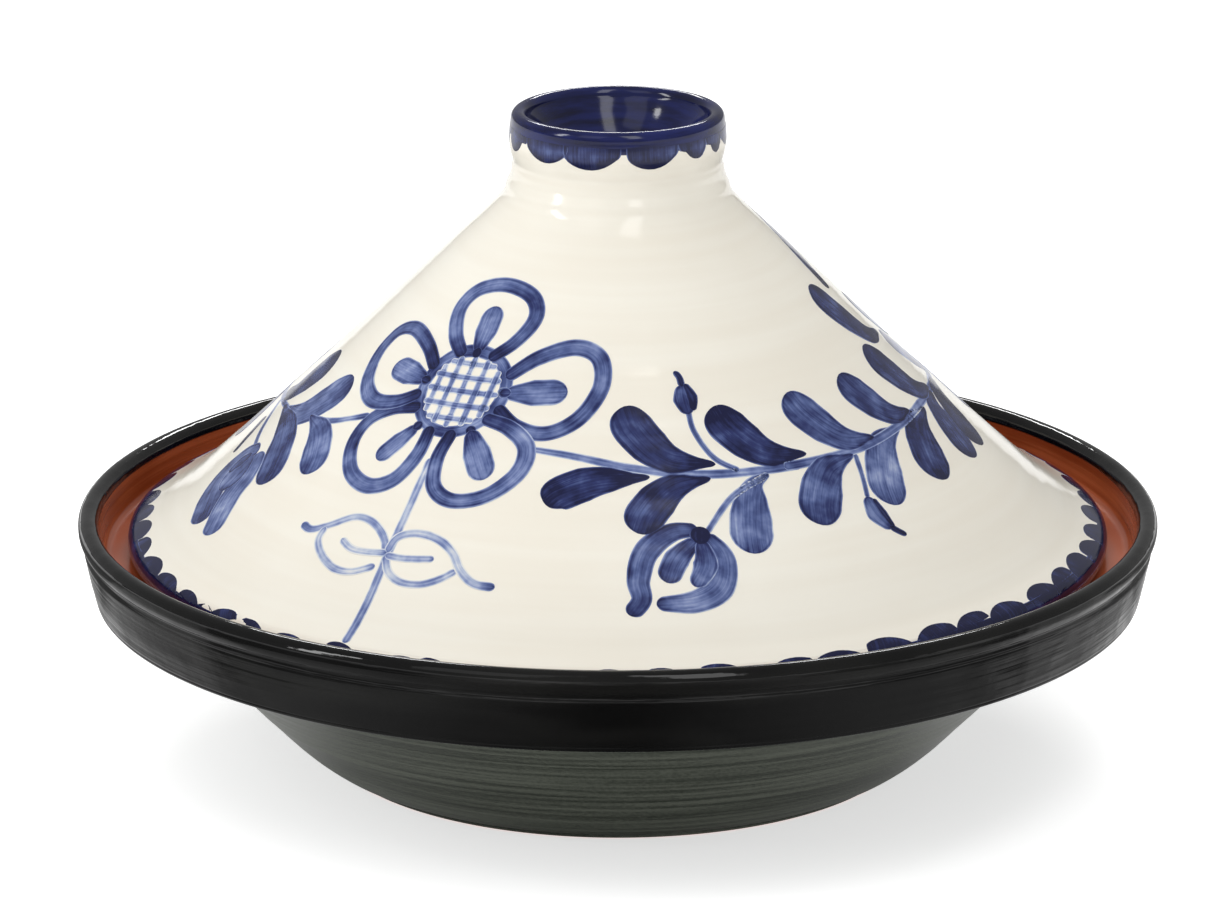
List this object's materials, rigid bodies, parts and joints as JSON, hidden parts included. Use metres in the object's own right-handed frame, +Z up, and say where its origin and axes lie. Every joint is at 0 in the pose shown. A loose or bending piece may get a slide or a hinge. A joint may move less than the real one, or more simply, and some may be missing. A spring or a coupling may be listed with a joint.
{
  "type": "tagine pot",
  "caption": "Wide round footed cooking dish with a rolled lip and an inner ledge, and a conical lift-off lid with an open cup-shaped collar.",
  "frame": {"origin": "centre of the dish's foot, on the surface the pot stands on", "axes": "+Z up along the axis the pot was turned on; X and Y lie in the plane of the foot"},
  "size_m": [0.32, 0.32, 0.1952],
  "materials": {
    "black_glaze": "gloss",
    "cream_glaze": "gloss",
    "terracotta_glaze": "gloss",
    "cobalt_paint": "gloss"
  },
  "bodies": {
    "dish": {"base_dish": "black_glaze"},
    "lid": {"lid": "cream_glaze"}
  },
  "joints": [
    {"name": "lid_lift", "type": "slide", "parent": "dish", "child": "lid", "axis": [0, 0, 1], "range_m": [0, 0.2]}
  ]
}
